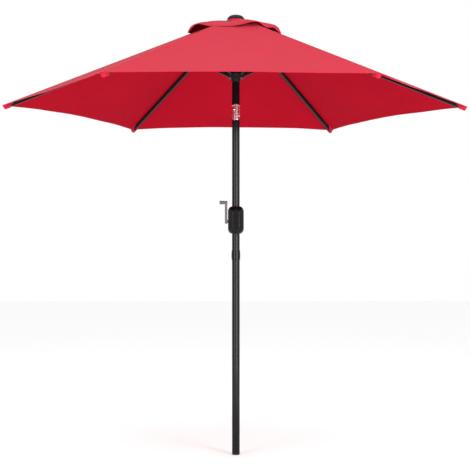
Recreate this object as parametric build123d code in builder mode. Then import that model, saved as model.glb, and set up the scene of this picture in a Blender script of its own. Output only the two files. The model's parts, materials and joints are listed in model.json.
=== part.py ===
"""Garden umbrella with a crank lift and a push-button tilt: six ribs, a two-piece pole, a vented canopy.

Origin: centre of the pole's foot. +Z is up, -Y is the front, and the crank handle is on the -X side.
Rib 1 points along +X and the others follow every 60 degrees, counter-clockwise from above.
"""

import os
from math import asin, atan, atan2, cos, degrees, hypot, pi, radians, sin, sqrt, tan

from build123d import *

os.makedirs("parts", exist_ok=True)

# ---------------------------------------------------------------- driving dimensions, in mm
rib_count = 6
slip = 0.05  # radial clearance of a pin, shaft or plug in its hole
sliding_gap = 0.5  # radial clearance of the runner on the pole
face_gap = 0.3  # gap between faces that pass each other

# pole
pole_r = 19.0
pole_wall = 1.2
foot_flange = 5.0
foot_plug = 28.0
foot_inset = 0.4
foot_wall = 3.0
joint_z = 948.0  # where the lower pole meets the middle pole
collar_height = 50.0
collar_stop = 2.5  # ring of the collar that keeps the two pole tubes apart
collar_bulge = 1.5
collar_wall = 1.2
coupler_length = 160.0
coupler_wall = 2.0

# crank housing
housing_base_z = 1078.0
housing_height = 134.0
housing_room = 19.5  # from the pole's face to the housing's flat sides
housing_edge_r = 6.0
housing_dome = 38.0
housing_wall = 3.0
housing_neck = 2.0
boss_step = 9.0  # from the pole's face to the middle of a screw boss
boss_inset = 30.0
boss_r = 4.5
screw_r = 1.6
screw_head_r = 3.4
screw_head = 2.6
screw_seat = 12.0

# crank
shaft_rise = 60.0  # shaft above the bottom of the housing
shaft_r = 5.0
shaft_square = 8.0
bush_r = 7.0
bush_flange_r = 9.5
bush_flange = 2.0
spool_core_r = 8.5
spool_flange_r = 15.0
spool_flange = 2.0
spool_width = 22.0
spool_room = 2.0
winding_r = 12.0
arm_reach = 93.0
arm_thickness = 12.0
arm_hub_r = 11.0
arm_end_r = 8.0
arm_boss = 2.5
arm_gap = 1.0
arm_screw_r = 2.2
arm_screw_head_r = 4.6
arm_screw_head = 2.4
arm_screw_depth = 10.0
knob_r = 9.2
knob_length = 26.0
knob_pin_r = 3.0
knob_pin_head_r = 4.8
knob_pin_head = 1.6
knob_recess = 4.5
brake_spring_r = 8.0
brake_wire_r = 0.9
brake_pitch = 2.6
brake_turns = 4

# tilt joint
tilt_base_z = 1636.0  # where the middle pole ends
tilt_height = 78.0
tilt_pivot_rise = 26.0
tilt_azimuth = 240.0  # direction of the tilt pin
tongue_half = 7.0
tongue_width_half = 14.0
tongue_floor_gap = 2.0
cheek_arc_r = 44.0
shoulder_gap = 2.0
knuckle_plug = 40.0
knuckle_wall = 5.25
tilt_pin_r = 4.0
button_rise = 28.0  # button above the tilt pin
button_r = 5.5
button_proud = 2.0
button_nose_r = 3.0
button_nose_end = 5.5
button_web = 1.5
button_travel = 1.6
button_spring_room = 4.0  # between the web and the pressed button's shoulder
channel_half = 3.8
channel_floor = 1.8
tilt_range = 30.0
spring_wire_r = 0.35
spring_turns = 4

# hub, ribs and runner
hub_pivot_z = 2125.0
slot_floor_wall = 7.0  # from the pole's face to the floor of a hub or runner slot
pivot_step = 8.0  # from a slot's floor to its pin
rib_slope = 21.2  # degrees below level when the canopy is open
rib_width = 14.0
rib_depth = 18.0
rib_wall = 0.7
rib_corner_r = 3.0
rib_start = 45.0
pocket_room = 11.6  # from the rib tip's nose to the canopy's corner
rib_tongue_half = 3.5
rib_tongue_r = 5.0
rib_plug = 30.0
rib_pin_r = 2.0
rib_pin_half = 11.0
tip_plug = 24.0
tip_length = 14.0
strut_reach = 328.0  # along the rib, from its pin to the strut's rivet
bracket_gap = 1.5  # between the rib's underside and the strut's eye
bracket_plate = 1.5
bracket_half = 17.0
bracket_top = 4.0
bracket_eye_r = 6.5
bracket_rivet_r = 2.0
bracket_rivet_step = 11.0
bracket_rivet_drop = 2.0
rivet_head = 1.0
strut_step = 2.0  # how much narrower than the rib a strut is
strut_depth = 14.0
strut_wall = 0.8
strut_corner_r = 2.5
strut_eye_r = 6.5
strut_eye_length = 13.0
strut_plug = 18.0
strut_pin_r = 2.5
strut_pin_half = 10.6

hub_top_above_pin = 5.5
hub_rim = 7.0  # hub flange outside the rib pins
hub_flange_depth = 18.5
hub_wall = 5.0
hub_socket = 26.0
hub_body = 42.5  # from the pole's top to the hub's top
hub_cap_height = 2.0
pulley_z_below_top = 26.5
pulley_inset = 2.0  # pulley's middle inside the pole's face
pulley_r = 11.5
pulley_groove_r = 7.5
pulley_half = 3.5
pulley_pin_r = 2.0
pulley_pin_half = 9.0
stud_r = 4.0
stud_sunk = 13.0
stud_proud = 18.0
finial_r = 43.0
finial_height = 22.7
finial_flat_r = 19.0
finial_rim = 4.0
finial_bore_roof = 3.0

runner_rim = 5.5  # runner flange outside the strut pins
runner_flange_up = 7.0
runner_flange_down = 10.0
runner_slot_down = 7.5
runner_wall = 5.0
runner_sleeve_up = 22.0
runner_collar_wall = 4.5
runner_collar_down = 30.0
runner_ring = 2.0

# canopy and cord
canopy_r = 1145.0
cloth_over_rib = 2.0
canopy_thickness = 1.0
canopy_vent_r = 130.0
hem_rise = 40.0
vent_r = 221.0
vent_lift = 14.7  # edge of the vent cap above the ridges of the canopy
vent_step = 8.0  # level part of the vent cap outside the hub
vent_thickness = 1.2
cord_r = 1.5
cord_gap = 0.7

# ---------------------------------------------------------------- worked-out places
pole_bore_r = pole_r - pole_wall
pole_fit_r = pole_bore_r - slip
middle_base_z = joint_z + collar_stop
housing_apothem = pole_r + housing_room
boss_x = pole_r + boss_step
shaft_z = housing_base_z + shaft_rise
knob_z = shaft_z + arm_reach
arm_x = -(housing_apothem + arm_gap + arm_boss)
knob_x = arm_x - arm_thickness - face_gap
tilt_slot_half = tongue_half + face_gap
knuckle_bore_r = pole_fit_r - knuckle_wall
tilt_top_z = tilt_base_z + tilt_height
tilt_z = tilt_base_z + tilt_pivot_rise
button_z = tilt_z + button_rise
shoulder_z = tilt_z + cheek_arc_r + shoulder_gap
slot_floor_r = pole_r + slot_floor_wall
pivot_r = slot_floor_r + pivot_step  # rib pins on the hub and strut pins on the runner
hub_flange_r = pivot_r + hub_rim
hub_skirt_r = pole_r + hub_wall
runner_r = pivot_r + runner_rim
runner_sleeve_r = pole_r + runner_wall
runner_collar_r = pole_r + runner_collar_wall
pulley_arm = pole_r - pulley_inset
hub_top_z = hub_pivot_z + hub_top_above_pin
pole_top_z = hub_top_z - hub_body
pulley_z = hub_top_z - pulley_z_below_top
strut_width = rib_width - strut_step
bracket_drop = rib_depth / 2 + bracket_gap + strut_eye_r
canopy_lift = rib_depth / 2 + cloth_over_rib + canopy_thickness
slope = radians(rib_slope)
rib_end = (canopy_r - pivot_r) / cos(slope) - pocket_room - tip_length
strut_length = hypot(strut_reach, bracket_drop)
strut_slope = slope + atan(bracket_drop / strut_reach)
runner_z = hub_pivot_z - 2 * strut_length * sin(strut_slope)
ridge_apex_z = hub_pivot_z + pivot_r * tan(slope) + canopy_lift / cos(slope)
half_angle = radians(180 / rib_count)
panel_slope = atan(tan(slope) / cos(half_angle))
cloth_bottom_z = hub_top_z + hub_cap_height + face_gap
cloth_top_z = cloth_bottom_z + vent_thickness
vent_centre_r = hub_flange_r + vent_step
vent_edge_z = ridge_apex_z - vent_r * tan(slope) + vent_lift
finial_z = cloth_top_z + face_gap
cord_arm = pulley_arm - (pulley_groove_r + cord_r)
cord_drop_arm = pulley_arm + pulley_groove_r + cord_r
cord_azimuth = radians(tilt_azimuth - 90)

tilt_axis = Vector(cos(radians(tilt_azimuth)), sin(radians(tilt_azimuth)), 0)
cord_side = Vector(cos(cord_azimuth), sin(cord_azimuth), 0)
# across the tilt pin: x towards the front right, y up, z out along the pin
tilt_plane = Plane(origin=(0, 0, tilt_z), x_dir=-cord_side, z_dir=tilt_axis)
# in the plane of the lift cord: x outwards on the cord's side, y up
cord_plane = Plane(origin=(0, 0, 0), x_dir=cord_side, z_dir=-tilt_axis)


def save(piece, name):
    """Label a finished piece and write it."""
    piece.part.label = name
    export_step(piece.part, f"parts/{name}.step")


def ring(outer_r, inner_r):
    """Two circles that leave a ring in the open sketch."""
    Circle(outer_r)
    Circle(inner_r, mode=Mode.SUBTRACT)


def radial(azimuth):
    """Level direction away from the pole at this azimuth, in radians."""
    return Vector(cos(azimuth), sin(azimuth), 0)


def tangent(azimuth):
    """Level direction across the rib at this azimuth, in radians."""
    return Vector(-sin(azimuth), cos(azimuth), 0)


def rib_frame(azimuth):
    """Side view of a rib: origin at its pin, x out along the rib, y up from it."""
    along = radial(azimuth) * cos(slope) - Vector(0, 0, sin(slope))
    pin = radial(azimuth) * pivot_r + Vector(0, 0, hub_pivot_z)
    return Plane(origin=pin, x_dir=along, z_dir=-tangent(azimuth))


def strut_frame(azimuth):
    """Side view of a strut: origin at its runner pin, x out along the strut, y up from it."""
    along = radial(azimuth) * cos(strut_slope) + Vector(0, 0, sin(strut_slope))
    pin = radial(azimuth) * pivot_r + Vector(0, 0, runner_z)
    return Plane(origin=pin, x_dir=along, z_dir=-tangent(azimuth))


def across(side_view, reach):
    """The section plane of a bar, this far along its side view: x across the bar, y up from it."""
    return Plane(
        origin=side_view.from_local_coords(Vector(reach, 0, 0)),
        x_dir=-side_view.z_dir,
        z_dir=side_view.x_dir,
    )


azimuths = [2 * pi * i / rib_count for i in range(rib_count)]

# ---------------------------------------------------------------- pole
with BuildPart() as lower_pole:
    with BuildSketch(Plane.XY.offset(foot_flange)):
        ring(pole_r, pole_bore_r)
    extrude(amount=joint_z - foot_flange)
save(lower_pole, "lower_pole")

with BuildPart() as foot_cap:
    with BuildSketch(Plane.XY):
        Circle(pole_r - foot_inset)
    extrude(amount=foot_flange)
    chamfer(foot_cap.edges().group_by(Axis.Z)[0], 1.5)
    with BuildSketch(Plane.XY.offset(foot_flange)):
        ring(pole_fit_r, pole_fit_r - foot_wall)
    extrude(amount=foot_plug)
save(foot_cap, "foot_cap")

with BuildPart() as pole_coupler:
    with BuildSketch(Plane.XY.offset(joint_z - coupler_length / 2)):
        ring(pole_fit_r, pole_fit_r - coupler_wall)
    extrude(amount=coupler_length)
save(pole_coupler, "pole_coupler")

collar_inner_r = pole_r + slip
collar_end_r = collar_inner_r + collar_wall
with BuildPart() as coupler_collar:
    with BuildSketch(Plane.XZ):
        with BuildLine():
            Polyline(
                (collar_end_r, joint_z),
                (pole_bore_r, joint_z),
                (pole_bore_r, middle_base_z),
                (collar_inner_r, middle_base_z),
                (collar_inner_r, joint_z + collar_height),
                (collar_end_r, joint_z + collar_height),
            )
            ThreePointArc(
                (collar_end_r, joint_z + collar_height),
                (collar_end_r + collar_bulge, joint_z + collar_height / 2),
                (collar_end_r, joint_z),
            )
        make_face()
    revolve(axis=Axis.Z)
save(coupler_collar, "coupler_collar")

window_half = spool_width / 2 + spool_room
window_height = 2 * (spool_flange_r + spool_room)
with BuildPart() as middle_pole:
    with BuildSketch(Plane.XY.offset(middle_base_z)):
        ring(pole_r, pole_bore_r)
    extrude(amount=tilt_base_z - middle_base_z)
    with BuildSketch(Plane.XZ):
        with Locations((0, shaft_z)):
            Rectangle(2 * window_half, window_height)
    extrude(amount=pole_r + 1, both=True, mode=Mode.SUBTRACT)
    with BuildSketch(Plane.YZ):
        with Locations((0, shaft_z)):
            Circle(bush_r + slip)
    extrude(amount=pole_r + 1, both=True, mode=Mode.SUBTRACT)
save(middle_pole, "middle_pole")

# ---------------------------------------------------------------- crank housing
boss_levels = (housing_base_z + boss_inset, housing_base_z + housing_height - boss_inset)
boss_places = [(x, z) for x in (-boss_x, boss_x) for z in boss_levels]


def barrel(shrink):
    """Eight-sided barrel with domed ends and flats to the front, back and sides, smaller by shrink."""
    low = housing_base_z + shrink
    high = housing_base_z + housing_height - shrink
    neck = pole_r + housing_neck - shrink
    wide = housing_apothem / cos(radians(22.5)) - shrink
    bend = housing_dome - shrink / 2
    with BuildPart() as block:
        with BuildSketch(Plane.XY.offset(housing_base_z)) as outline:
            RegularPolygon(housing_apothem - shrink, 8, major_radius=False, rotation=22.5)
            fillet(outline.vertices(), housing_edge_r - shrink)
        extrude(amount=housing_height)
        with BuildSketch(Plane.XZ):
            with BuildLine():
                Polyline((neck, low), (0, low), (0, high), (neck, high))
                EllipticalCenterArc((neck, high - bend), wide - neck, bend, 0, arc_size=90)
                Line((wide, high - bend), (wide, low + bend))
                EllipticalCenterArc((neck, low + bend), wide - neck, bend, 270, arc_size=90)
            make_face()
        revolve(axis=Axis.Z, mode=Mode.INTERSECT)
    return block


housing_block = barrel(0)
housing_cavity = barrel(housing_wall)

with BuildPart() as boss_block:
    with BuildSketch(Plane.XZ):
        with Locations(*boss_places):
            Circle(boss_r)
    extrude(amount=housing_apothem, both=True)
    add(housing_block.part, mode=Mode.INTERSECT)


def housing_shell(side, bore_r, bore_depth):
    """One half of the housing, with its screw bosses bored to this radius and depth."""
    with BuildPart() as shell:
        add(housing_block.part)
        add(housing_cavity.part, mode=Mode.SUBTRACT)
        add(boss_block.part)
        with BuildSketch(Plane.XY.offset(housing_base_z)):
            Circle(pole_r + slip)
        extrude(amount=housing_height, mode=Mode.SUBTRACT)
        with BuildSketch(Plane.YZ):
            with Locations((0, shaft_z)):
                Circle(shaft_r + cord_gap)
        extrude(amount=-2 * housing_apothem, mode=Mode.SUBTRACT)
        with BuildSketch(Plane.XZ):
            with Locations(*boss_places):
                Circle(bore_r)
        extrude(amount=bore_depth * side, mode=Mode.SUBTRACT)
        split(bisect_by=Plane.XZ, keep=Keep.TOP if side > 0 else Keep.BOTTOM)
    return shell


crank_housing_front = housing_shell(1, screw_r + slip, screw_seat + 3)
save(crank_housing_front, "crank_housing_front")

rear_bored = housing_shell(-1, screw_r + slip, housing_apothem)
with BuildPart() as crank_housing_rear:
    add(rear_bored.part)
    with BuildSketch(Plane.XZ.offset(-screw_seat)):
        with Locations(*boss_places):
            Circle(screw_head_r + face_gap)
    extrude(amount=-housing_apothem, mode=Mode.SUBTRACT)
save(crank_housing_rear, "crank_housing_rear")

with BuildPart() as housing_screws:
    with BuildSketch(Plane.XZ.offset(screw_seat)):
        with Locations(*boss_places):
            Circle(screw_r)
    extrude(amount=-2 * screw_seat)
    with BuildSketch(Plane.XZ.offset(-screw_seat)):
        with Locations(*boss_places):
            Circle(screw_head_r)
    extrude(amount=-screw_head)
save(housing_screws, "housing_screws")

# ---------------------------------------------------------------- crank
with BuildPart() as shaft_bushes:
    for side in (-1, 1):
        with BuildSketch(Plane.YZ.offset(side * (pole_r + bush_flange + face_gap))):
            with Locations((0, shaft_z)):
                ring(bush_flange_r, shaft_r + slip)
        extrude(amount=-side * bush_flange)
        with BuildSketch(Plane.YZ.offset(side * (pole_r + face_gap))):
            with Locations((0, shaft_z)):
                ring(bush_r, shaft_r + slip)
        extrude(amount=-side * (pole_r + face_gap - window_half))
save(shaft_bushes, "shaft_bushes")

shaft_inner_x = pole_r + bush_flange + 1
square_x = -(housing_apothem + arm_gap)
shaft_outer_x = arm_x - arm_thickness + arm_screw_head
with BuildPart() as crank_shaft:
    with BuildSketch(Plane.YZ.offset(square_x)):
        with Locations((0, shaft_z)):
            Circle(shaft_r)
    extrude(amount=shaft_inner_x - square_x)
    with BuildSketch(Plane.YZ.offset(square_x)):
        with Locations((0, shaft_z)):
            Rectangle(shaft_square, shaft_square)
    extrude(amount=shaft_outer_x - square_x)
    with BuildSketch(Plane.YZ.offset(shaft_outer_x)):
        with Locations((0, shaft_z)):
            Circle(arm_screw_r + slip)
    extrude(amount=arm_screw_depth + 1, mode=Mode.SUBTRACT)
save(crank_shaft, "crank_shaft")

with BuildPart() as cord_spool:
    with BuildSketch(Plane.YZ.offset(-spool_width / 2)):
        with Locations((0, shaft_z)):
            ring(spool_core_r, shaft_r + slip)
    extrude(amount=spool_width)
    for start in (-spool_width / 2, spool_width / 2 - spool_flange):
        with BuildSketch(Plane.YZ.offset(start)):
            with Locations((0, shaft_z)):
                ring(spool_flange_r, spool_core_r - 1)
        extrude(amount=spool_flange)
save(cord_spool, "cord_spool")

winding_half = spool_width / 2 - spool_flange - slip
winding_step = 2 * cord_r
winding_turns = int(2 * winding_half // winding_step)
with BuildPart() as cord_winding:
    with BuildSketch(Plane.XZ):
        with BuildLine():
            left = -winding_turns * cord_r
            crest = winding_r - cord_r
            Polyline(
                (left, shaft_z + crest),
                (left, shaft_z + spool_core_r + slip),
                (-left, shaft_z + spool_core_r + slip),
                (-left, shaft_z + crest),
            )
            for turn in range(winding_turns):
                start = -left - turn * winding_step
                ThreePointArc(
                    (start, shaft_z + crest),
                    (start - cord_r, shaft_z + winding_r),
                    (start - winding_step, shaft_z + crest),
                )
        make_face()
    revolve(axis=Axis((0, 0, shaft_z), (1, 0, 0)))
save(cord_winding, "cord_winding")

with BuildPart() as crank_arm:
    with BuildSketch(Plane.YZ.offset(arm_x)):
        with Locations((0, shaft_z)):
            Circle(arm_hub_r)
        with Locations((0, knob_z)):
            Circle(arm_end_r)
        make_hull()
    extrude(amount=-arm_thickness)
    fillet(crank_arm.edges().group_by(Axis.X)[0], 3)
    fillet(crank_arm.edges().group_by(Axis.X)[-1], 1.5)
    with BuildSketch(Plane.YZ.offset(arm_x)):
        with Locations((0, shaft_z)):
            Circle(arm_hub_r - 2)
    extrude(amount=arm_boss)
    with BuildSketch(Plane.YZ.offset(arm_x + arm_boss)):
        with Locations((0, shaft_z)):
            Rectangle(shaft_square + 2 * slip, shaft_square + 2 * slip)
    extrude(amount=-(arm_thickness + arm_boss), mode=Mode.SUBTRACT)
    with BuildSketch(Plane.YZ.offset(arm_x - arm_thickness)):
        with Locations((0, shaft_z)):
            Circle(arm_screw_head_r + 2 * slip)
    extrude(amount=arm_screw_head, mode=Mode.SUBTRACT)
    with BuildSketch(Plane.YZ.offset(arm_x)):
        with Locations((0, knob_z)):
            Circle(knob_pin_r + slip)
    extrude(amount=-arm_thickness, mode=Mode.SUBTRACT)
save(crank_arm, "crank_arm")

with BuildPart() as arm_screw:
    with BuildSketch(Plane.YZ.offset(arm_x - arm_thickness)):
        with Locations((0, shaft_z)):
            Circle(arm_screw_head_r)
    extrude(amount=arm_screw_head)
    with BuildSketch(Plane.YZ.offset(shaft_outer_x)):
        with Locations((0, shaft_z)):
            Circle(arm_screw_r)
    extrude(amount=arm_screw_depth)
    with BuildSketch(Plane.YZ.offset(arm_x - arm_thickness)):
        with Locations((0, shaft_z)):
            RegularPolygon(2.2, 6)
    extrude(amount=1.2, mode=Mode.SUBTRACT)
save(arm_screw, "arm_screw")

knob_end_x = knob_x - knob_length
pin_end_x = knob_end_x + 1.5
with BuildPart() as knob_pin:
    with BuildSketch(Plane.YZ.offset(arm_x + knob_pin_head)):
        with Locations((0, knob_z)):
            Circle(knob_pin_head_r)
    extrude(amount=-knob_pin_head)
    with BuildSketch(Plane.YZ.offset(arm_x)):
        with Locations((0, knob_z)):
            Circle(knob_pin_r)
    extrude(amount=pin_end_x - arm_x)
    with BuildSketch(Plane.YZ.offset(pin_end_x)):
        with Locations((0, knob_z)):
            Circle(knob_pin_head_r - 0.4)
    extrude(amount=knob_recess - 1.5 - face_gap)
save(knob_pin, "knob_pin")

with BuildPart() as crank_knob:
    with BuildSketch(Plane.XZ):
        with BuildLine():
            Polyline(
                (knob_x, knob_z + knob_pin_r + slip),
                (knob_end_x + knob_recess, knob_z + knob_pin_r + slip),
                (knob_end_x + knob_recess, knob_z + knob_pin_head_r + slip),
                (knob_end_x, knob_z + knob_pin_head_r + slip),
                (knob_end_x, knob_z + knob_r - 3.0),
            )
            ThreePointArc(
                (knob_end_x, knob_z + knob_r - 3.0),
                (knob_end_x + 0.9, knob_z + knob_r - 0.9),
                (knob_end_x + 3.0, knob_z + knob_r),
            )
            ThreePointArc(
                (knob_end_x + 3.0, knob_z + knob_r),
                (knob_x - knob_length / 2, knob_z + knob_r - 0.7),
                (knob_x - 2.0, knob_z + knob_r - 0.6),
            )
            ThreePointArc(
                (knob_x - 2.0, knob_z + knob_r - 0.6),
                (knob_x - 0.6, knob_z + knob_r - 1.2),
                (knob_x, knob_z + knob_r - 2.6),
            )
            Line((knob_x, knob_z + knob_r - 2.6), (knob_x, knob_z + knob_pin_r + slip))
        make_face()
    revolve(axis=Axis((0, 0, knob_z), (1, 0, 0)))
save(crank_knob, "crank_knob")

brake_start_x = -(pole_r + bush_flange + face_gap + 1.5)
with BuildPart() as brake_spring:
    with BuildLine() as coil:
        Helix(
            brake_pitch,
            brake_pitch * brake_turns,
            brake_spring_r,
            center=(brake_start_x, 0, shaft_z),
            direction=(-1, 0, 0),
        )
    with BuildSketch(Plane(origin=coil.line @ 0, z_dir=coil.line % 0)):
        Circle(brake_wire_r)
    sweep(is_frenet=True)
save(brake_spring, "brake_spring")

# ---------------------------------------------------------------- tilt joint
with BuildPart() as tilt_lower_knuckle:
    with BuildSketch(Plane.XY.offset(tilt_base_z)):
        Circle(pole_r)
    extrude(amount=tilt_height)
    with BuildSketch(tilt_plane):
        Circle(cheek_arc_r)
        with Locations((0, -tilt_height)):
            Rectangle(4 * pole_r, 2 * tilt_height)
    extrude(amount=pole_r + 1, both=True, mode=Mode.INTERSECT)
    with BuildSketch(tilt_plane):
        with Locations((0, tilt_height - tongue_width_half - tongue_floor_gap)):
            Rectangle(4 * pole_r, 2 * tilt_height)
    extrude(amount=tilt_slot_half, both=True, mode=Mode.SUBTRACT)
    with BuildSketch(Plane.XY.offset(tilt_base_z)):
        Circle(pole_fit_r)
    extrude(amount=-knuckle_plug)
    with BuildSketch(Plane.XY.offset(tilt_base_z - knuckle_plug)):
        Circle(knuckle_bore_r)
    extrude(amount=knuckle_plug + tilt_pivot_rise, mode=Mode.SUBTRACT)
    with BuildSketch(tilt_plane):
        Circle(tilt_pin_r + slip)
    extrude(amount=pole_r + 1, both=True, mode=Mode.SUBTRACT)
    with BuildSketch(tilt_plane.offset(tilt_slot_half)):
        with Locations((0, button_rise)):
            Circle(button_nose_r + 0.4)
    extrude(amount=button_web, mode=Mode.SUBTRACT)
    with BuildSketch(tilt_plane.offset(tilt_slot_half + button_web)):
        with Locations((0, button_rise)):
            Circle(button_r + slip)
    extrude(amount=pole_r, mode=Mode.SUBTRACT)
save(tilt_lower_knuckle, "tilt_lower_knuckle")

with BuildPart() as tilt_upper_knuckle:
    with BuildSketch(Plane.XY.offset(shoulder_z)):
        Circle(pole_r)
    extrude(amount=tilt_top_z - shoulder_z)
    with BuildSketch(tilt_plane):
        Circle(tongue_width_half)
        with Locations((0, (shoulder_z - tilt_z) / 2)):
            Rectangle(2 * tongue_width_half, shoulder_z - tilt_z)
    extrude(amount=tongue_half, both=True)
    with BuildSketch(Plane.XY.offset(tilt_top_z)):
        ring(pole_fit_r, knuckle_bore_r)
    extrude(amount=knuckle_plug)
    with BuildSketch(tilt_plane):
        Circle(tilt_pin_r + slip)
    extrude(amount=pole_r, both=True, mode=Mode.SUBTRACT)
    with BuildSketch(tilt_plane.offset(channel_floor)):
        ring(button_rise + channel_half, button_rise - channel_half)
        with Locations((channel_half - pole_r, button_rise)):
            Rectangle(2 * pole_r, 2 * channel_half + button_rise, mode=Mode.INTERSECT)
    extrude(amount=pole_r, mode=Mode.SUBTRACT)
    with BuildSketch(Plane.XY.offset(tilt_z - tongue_width_half)):
        with Locations(cord_side * cord_arm):
            Circle(cord_r + cord_gap)
    extrude(amount=tilt_height, mode=Mode.SUBTRACT)
save(tilt_upper_knuckle, "tilt_upper_knuckle")

tilt_pin_half = sqrt(pole_r**2 - tilt_pin_r**2) - 0.1
with BuildPart() as tilt_pin:
    with BuildSketch(tilt_plane):
        Circle(tilt_pin_r)
    extrude(amount=tilt_pin_half, both=True)
save(tilt_pin, "tilt_pin")

button_bore_floor = tilt_slot_half + button_web
button_shoulder = button_bore_floor + button_travel + button_spring_room
with BuildPart() as tilt_button:
    with BuildSketch(tilt_plane.offset(button_shoulder)):
        with Locations((0, button_rise)):
            Circle(button_r)
    extrude(amount=pole_r + button_proud - button_shoulder)
    fillet(tilt_button.faces().sort_by(Axis(tilt_plane.origin, tilt_axis))[-1].edges(), 1.8)
    with BuildSketch(tilt_plane.offset(button_nose_end)):
        with Locations((0, button_rise)):
            Circle(button_nose_r)
    extrude(amount=button_shoulder - button_nose_end)
save(tilt_button, "tilt_button")

spring_start = button_bore_floor + spring_wire_r + 0.1
spring_length = button_shoulder - button_bore_floor - 2 * (spring_wire_r + 0.1)
with BuildPart() as button_spring:
    with BuildLine() as coil:
        Helix(
            spring_length / spring_turns,
            spring_length,
            (button_nose_r + button_r) / 2,
            center=tilt_plane.from_local_coords(Vector(0, button_rise, spring_start)),
            direction=tilt_axis,
        )
    with BuildSketch(Plane(origin=coil.line @ 0, z_dir=coil.line % 0)):
        Circle(spring_wire_r)
    sweep(is_frenet=True)
save(button_spring, "button_spring")

# ---------------------------------------------------------------- upper pole and hub
with BuildPart() as upper_pole:
    with BuildSketch(Plane.XY.offset(tilt_top_z)):
        ring(pole_r, pole_bore_r)
    extrude(amount=pole_top_z - tilt_top_z)
save(upper_pole, "upper_pole")

pulley_centre = cord_side * pulley_arm + Vector(0, 0, pulley_z)
pulley_plane = Plane(origin=pulley_centre, x_dir=cord_side, z_dir=-tilt_axis)
with BuildPart() as top_hub:
    with BuildSketch(Plane.XY.offset(pole_top_z - hub_socket)):
        Circle(hub_skirt_r)
    extrude(amount=hub_socket + hub_body)
    with BuildSketch(Plane.XY.offset(hub_top_z)):
        Circle(hub_flange_r)
    extrude(amount=-hub_flange_depth)
    fillet(top_hub.edges().filter_by(GeomType.CIRCLE).group_by(Axis.Z)[0], 2)
    with BuildSketch(Plane.XY.offset(pole_top_z - hub_socket)):
        Circle(pole_r + slip)
    extrude(amount=hub_socket, mode=Mode.SUBTRACT)
    with BuildSketch(Plane.XY.offset(hub_top_z)):
        Circle(stud_r + slip)
    extrude(amount=-stud_sunk, mode=Mode.SUBTRACT)
    for azimuth in azimuths:
        side = Plane(
            origin=radial(azimuth) * pivot_r + Vector(0, 0, hub_pivot_z),
            x_dir=radial(azimuth),
            z_dir=-tangent(azimuth),
        )
        slot_length = hub_flange_r - slot_floor_r + 2
        with BuildSketch(side):
            with Locations((slot_floor_r - pivot_r + slot_length / 2, 0)):
                Rectangle(slot_length, 2 * hub_flange_depth)
        extrude(amount=rib_tongue_half + face_gap, both=True, mode=Mode.SUBTRACT)
        with BuildSketch(side):
            Circle(rib_pin_r + slip)
            with Locations((0, hub_top_above_pin / 2)):
                Rectangle(2 * (rib_pin_r + slip), hub_top_above_pin)
        extrude(amount=rib_pin_half + slip, both=True, mode=Mode.SUBTRACT)
    with BuildSketch(pulley_plane):
        Circle(pulley_r + face_gap)
        with Locations((0, -pulley_r)):
            Rectangle(2 * (pulley_r + face_gap), 2 * pulley_r)
    extrude(amount=pulley_half + face_gap, both=True, mode=Mode.SUBTRACT)
    with BuildSketch(pulley_plane):
        Circle(pulley_pin_r + slip)
    extrude(amount=pulley_pin_half + slip, both=True, mode=Mode.SUBTRACT)
save(top_hub, "top_hub")

with BuildPart() as hub_cap:
    with BuildSketch(Plane.XY.offset(hub_top_z)):
        ring(hub_flange_r, stud_r + slip)
    extrude(amount=hub_cap_height)
    fillet(hub_cap.edges().group_by(Axis.Z)[-1].sort_by(Axis.X)[-1], 1)
save(hub_cap, "hub_cap")

with BuildPart() as rib_pins:
    for azimuth in azimuths:
        with BuildSketch(rib_frame(azimuth)):
            Circle(rib_pin_r)
        extrude(amount=rib_pin_half, both=True)
save(rib_pins, "rib_pins")

groove_mouth = pulley_half - 0.7
with BuildPart() as cord_pulley:
    with BuildSketch(cord_plane):
        with BuildLine():
            Polyline(
                (pulley_arm - pulley_half, pulley_z + pulley_pin_r + slip),
                (pulley_arm + pulley_half, pulley_z + pulley_pin_r + slip),
                (pulley_arm + pulley_half, pulley_z + pulley_r),
                (pulley_arm + groove_mouth, pulley_z + pulley_r),
                (pulley_arm + cord_r + slip, pulley_z + pulley_groove_r + cord_r),
            )
            ThreePointArc(
                (pulley_arm + cord_r + slip, pulley_z + pulley_groove_r + cord_r),
                (pulley_arm, pulley_z + pulley_groove_r - slip),
                (pulley_arm - cord_r - slip, pulley_z + pulley_groove_r + cord_r),
            )
            Polyline(
                (pulley_arm - cord_r - slip, pulley_z + pulley_groove_r + cord_r),
                (pulley_arm - groove_mouth, pulley_z + pulley_r),
                (pulley_arm - pulley_half, pulley_z + pulley_r),
                (pulley_arm - pulley_half, pulley_z + pulley_pin_r + slip),
            )
        make_face()
    revolve(axis=Axis((0, 0, pulley_z), cord_side))
# the wheel is turned on the cord's own line, then stands across it on its pin
cord_pulley.part = cord_pulley.part.rotate(Axis(pulley_centre, (0, 0, 1)), 90)
save(cord_pulley, "cord_pulley")

with BuildPart() as pulley_pin:
    with BuildSketch(pulley_plane):
        Circle(pulley_pin_r)
    extrude(amount=pulley_pin_half, both=True)
save(pulley_pin, "pulley_pin")

with BuildPart() as finial_stud:
    with BuildSketch(Plane.XY.offset(hub_top_z - stud_sunk)):
        Circle(stud_r)
    extrude(amount=stud_sunk + stud_proud)
save(finial_stud, "finial_stud")

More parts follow.
